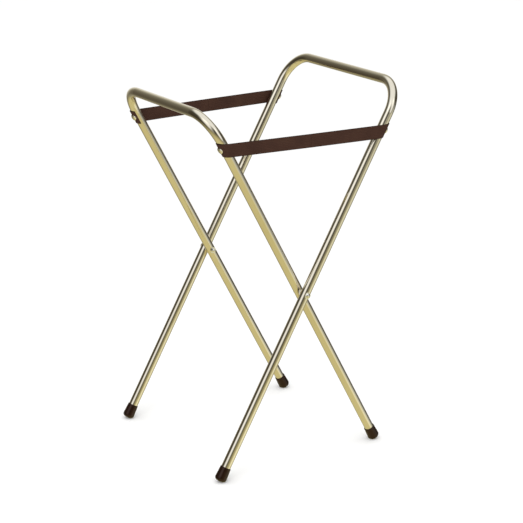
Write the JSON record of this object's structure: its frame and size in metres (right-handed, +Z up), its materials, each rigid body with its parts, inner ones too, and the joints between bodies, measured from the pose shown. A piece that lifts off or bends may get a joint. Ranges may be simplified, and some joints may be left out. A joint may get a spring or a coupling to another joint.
{
  "type": "folding plastic bag holder",
  "caption": "Folding X-frame stand of two bent tube loops on pivots, with webbing straps and rubber tips, that holds a plastic bag open.",
  "frame": {"origin": "on the floor, under the middle of the object's box", "axes": "+X from the outer frame's feet to the inner frame's feet, +Y from the front strap to the rear strap, +Z up"},
  "size_m": [0.4444, 0.422, 0.762],
  "materials": {
    "tube_metal": "bright satin plating with a warm champagne tint",
    "strap_webbing": "dark chocolate-brown woven webbing",
    "tip_rubber": "very dark brown moulded rubber, slightly glossy",
    "fixing_metal": "pale gold plated, satin",
    "bolt_metal": "bright plated, polished",
    "spacer_nylon": "natural nylon"
  },
  "bodies": {
    "outer_frame": {"outer_frame_tube": "tube_metal", "front_outer_rubber_tip": "tip_rubber", "front_outer_strap_cup_washer": "fixing_metal", "front_outer_strap_screw": "fixing_metal", "front_pivot_bolt": "bolt_metal", "front_pivot_head_washer": "bolt_metal", "front_pivot_spacer": "spacer_nylon", "front_pivot_nut_washer": "bolt_metal", "front_pivot_cap_nut": "bolt_metal", "rear_outer_rubber_tip": "tip_rubber", "rear_outer_strap_cup_washer": "fixing_metal", "rear_outer_strap_screw": "fixing_metal", "rear_pivot_bolt": "bolt_metal", "rear_pivot_head_washer": "bolt_metal", "rear_pivot_spacer": "spacer_nylon", "rear_pivot_nut_washer": "bolt_metal", "rear_pivot_cap_nut": "bolt_metal"},
    "inner_frame": {"inner_frame_tube": "tube_metal", "front_inner_rubber_tip": "tip_rubber", "front_inner_strap_cup_washer": "fixing_metal", "front_inner_strap_screw": "fixing_metal", "rear_inner_rubber_tip": "tip_rubber", "rear_inner_strap_cup_washer": "fixing_metal", "rear_inner_strap_screw": "fixing_metal"},
    "front_outer_strap": {"front_outer_strap_half": "strap_webbing"},
    "front_inner_strap": {"front_inner_strap_half": "strap_webbing"},
    "rear_outer_strap": {"rear_outer_strap_half": "strap_webbing"},
    "rear_inner_strap": {"rear_inner_strap_half": "strap_webbing"}
  },
  "joints": [
    {"name": "fold", "type": "hinge", "parent": "outer_frame", "child": "inner_frame", "pos_m": [-0.01287, 0, 0.3546], "axis": [0, 1, 0], "range_deg": [0, 55], "deforming": ["front_outer_strap_half", "front_inner_strap_half", "rear_outer_strap_half", "rear_inner_strap_half"]},
    {"name": "front_outer_strap_swing", "type": "hinge", "parent": "outer_frame", "child": "front_outer_strap", "pos_m": [0.16253, -0.1975, 0.664], "axis": [0.5103, -0.0079, 0.86], "range_deg": [0, 84], "deforming": ["front_outer_strap_half"]},
    {"name": "front_inner_strap_swing", "type": "hinge", "parent": "inner_frame", "child": "front_inner_strap", "pos_m": [-0.17815, -0.1752, 0.664], "axis": [0.4615, -0.0242, -0.8868], "range_deg": [0, 84], "deforming": ["front_inner_strap_half"]},
    {"name": "rear_outer_strap_swing", "type": "hinge", "parent": "outer_frame", "child": "rear_outer_strap", "pos_m": [0.16253, 0.1975, 0.664], "axis": [-0.5103, -0.0079, -0.86], "range_deg": [0, 84], "deforming": ["rear_outer_strap_half"]},
    {"name": "rear_inner_strap_swing", "type": "hinge", "parent": "inner_frame", "child": "rear_inner_strap", "pos_m": [-0.17815, 0.1752, 0.664], "axis": [-0.4615, -0.0242, 0.8868], "range_deg": [0, 84], "deforming": ["rear_inner_strap_half"]}
  ],
  "couplings": [
    {"joint": "front_outer_strap_swing", "follows": "fold", "ratio": 1.52},
    {"joint": "front_inner_strap_swing", "follows": "fold", "ratio": 1.52},
    {"joint": "rear_outer_strap_swing", "follows": "fold", "ratio": 1.52},
    {"joint": "rear_inner_strap_swing", "follows": "fold", "ratio": 1.52}
  ]
}
